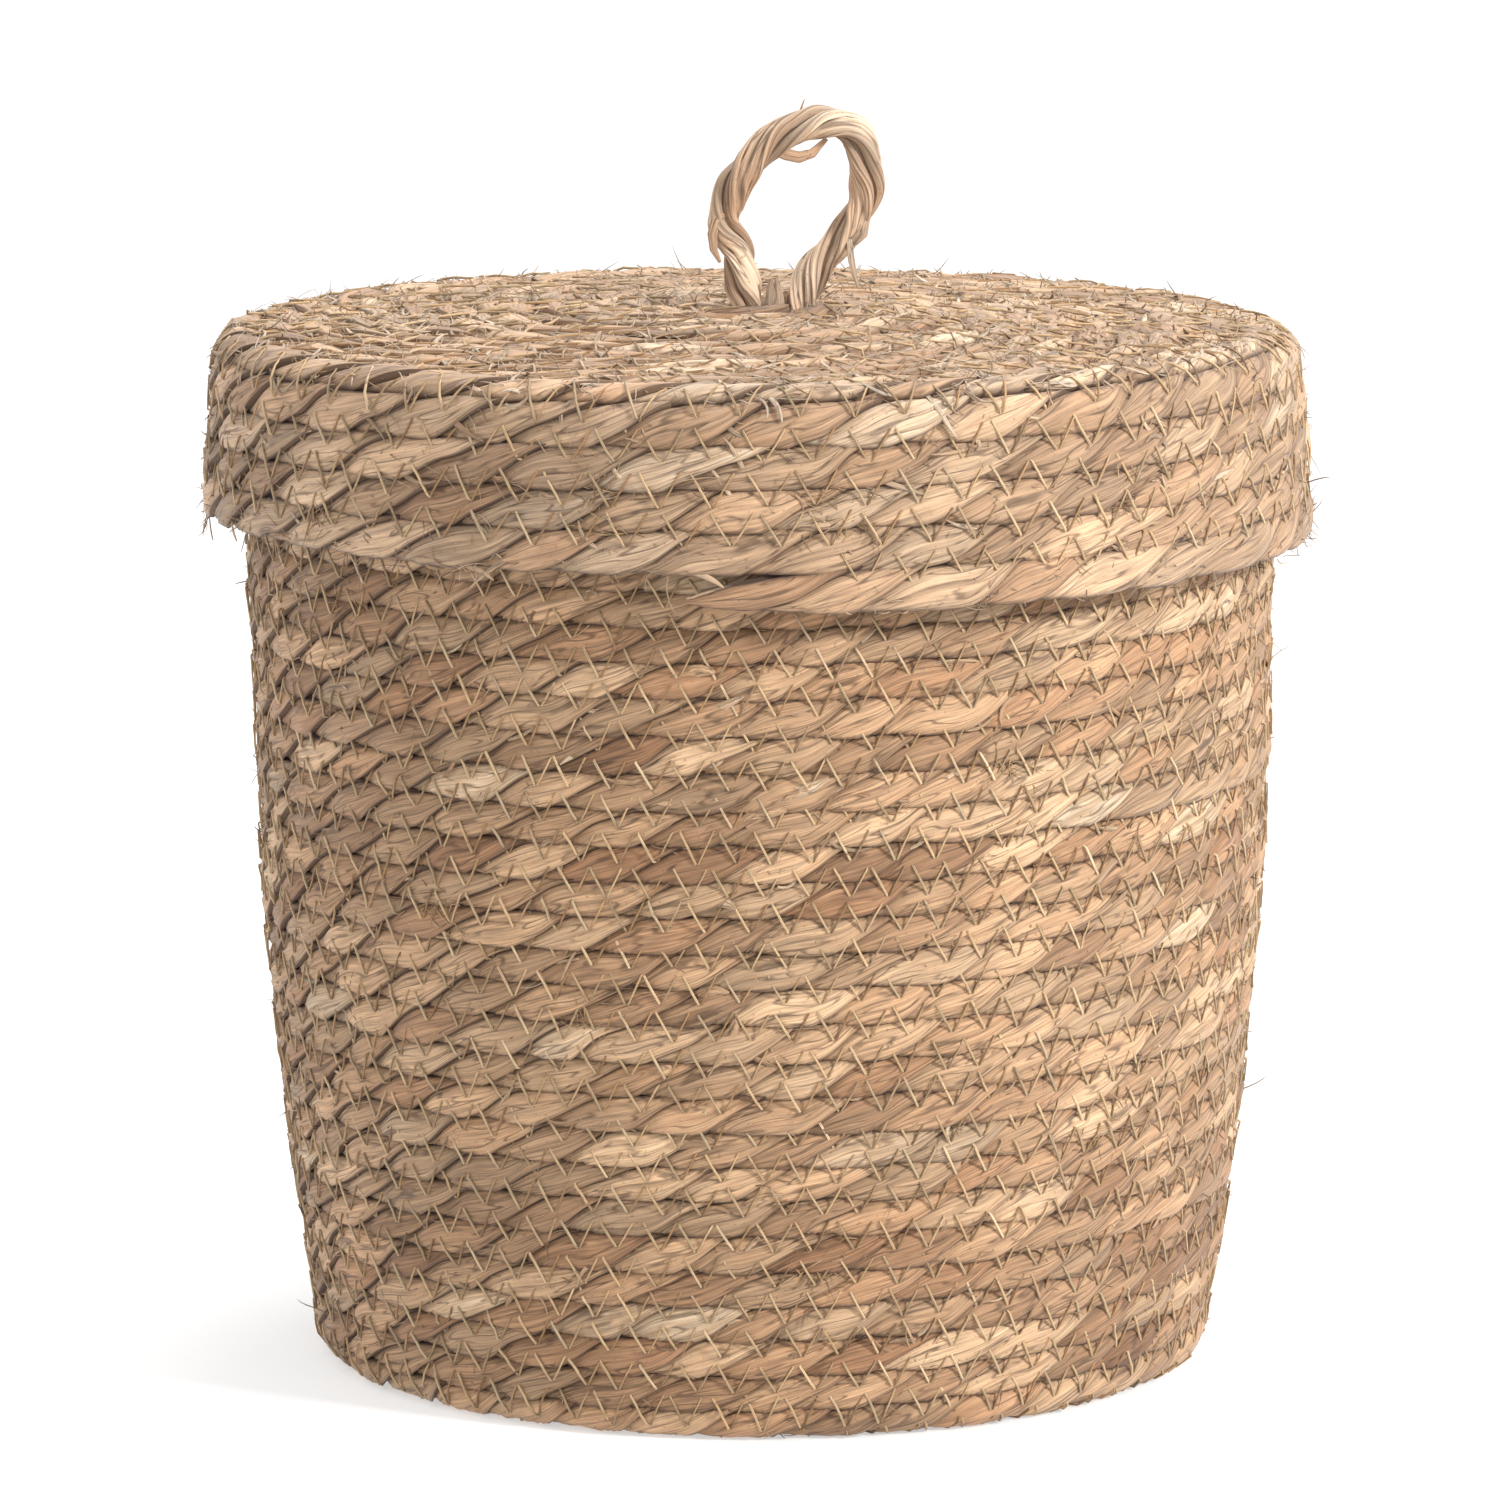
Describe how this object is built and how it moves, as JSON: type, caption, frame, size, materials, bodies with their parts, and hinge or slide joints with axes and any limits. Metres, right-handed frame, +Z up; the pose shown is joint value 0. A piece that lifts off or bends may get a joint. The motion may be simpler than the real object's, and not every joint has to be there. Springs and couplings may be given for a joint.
{
  "type": "lidded laundry basket",
  "caption": "Round lidded storage basket of sewn straw braid, barrel shaped and narrower at the foot, with an overlapping cap lid and a twisted rope loop handle.",
  "frame": {"origin": "centre of the flat underside of the basket, on the floor it stands on", "axes": "+Z up along the basket's axis; +X and +Y level, the handle's loop lies in the XZ plane"},
  "size_m": [0.4204, 0.4204, 0.4796],
  "materials": {
    "body_straw": "matte",
    "lid_straw": "matte",
    "rope_straw": "satin",
    "thread": "matte"
  },
  "bodies": {
    "basket": {"base_coil": "body_straw", "base_thread": "thread", "wall_course_01": "body_straw", "wall_course_02": "body_straw", "wall_course_03": "body_straw", "wall_course_04": "body_straw", "wall_course_05": "body_straw", "wall_course_06": "body_straw", "wall_course_07": "body_straw", "wall_course_08": "body_straw", "wall_course_09": "body_straw", "wall_course_10": "body_straw", "wall_course_11": "body_straw", "wall_course_12": "body_straw", "wall_course_13": "body_straw", "wall_course_14": "body_straw", "wall_course_15": "body_straw", "wall_course_16": "body_straw", "wall_course_17": "body_straw", "wall_course_18": "body_straw", "wall_course_19": "body_straw", "wall_course_20": "body_straw", "wall_course_21": "body_straw", "wall_course_22": "body_straw", "wall_course_23": "body_straw", "wall_course_24": "body_straw", "wall_course_25": "body_straw", "wall_course_26": "body_straw", "wall_course_27": "body_straw", "wall_course_28": "body_straw", "wall_course_29": "body_straw", "wall_thread": "thread"},
    "lid": {"lid_top_coil": "lid_straw", "lid_top_thread": "thread", "lid_shoulder_course": "lid_straw", "lid_skirt_course_1": "lid_straw", "lid_skirt_course_2": "lid_straw", "lid_skirt_course_3": "lid_straw", "lid_skirt_course_4": "lid_straw", "lid_skirt_thread": "thread", "handle_knot": "rope_straw"},
    "handle": {"handle_loop": "rope_straw"}
  },
  "joints": [
    {"name": "lid_lift", "type": "slide", "parent": "basket", "child": "lid", "axis": [0, 0, 1], "range_m": [0, 0.2]},
    {"name": "handle_tilt", "type": "hinge", "parent": "lid", "child": "handle", "pos_m": [0, 0, 0.4011], "axis": [1, 0, 0], "range_deg": [-45, 45], "stiffness_Nm_per_rad": 0.06}
  ]
}
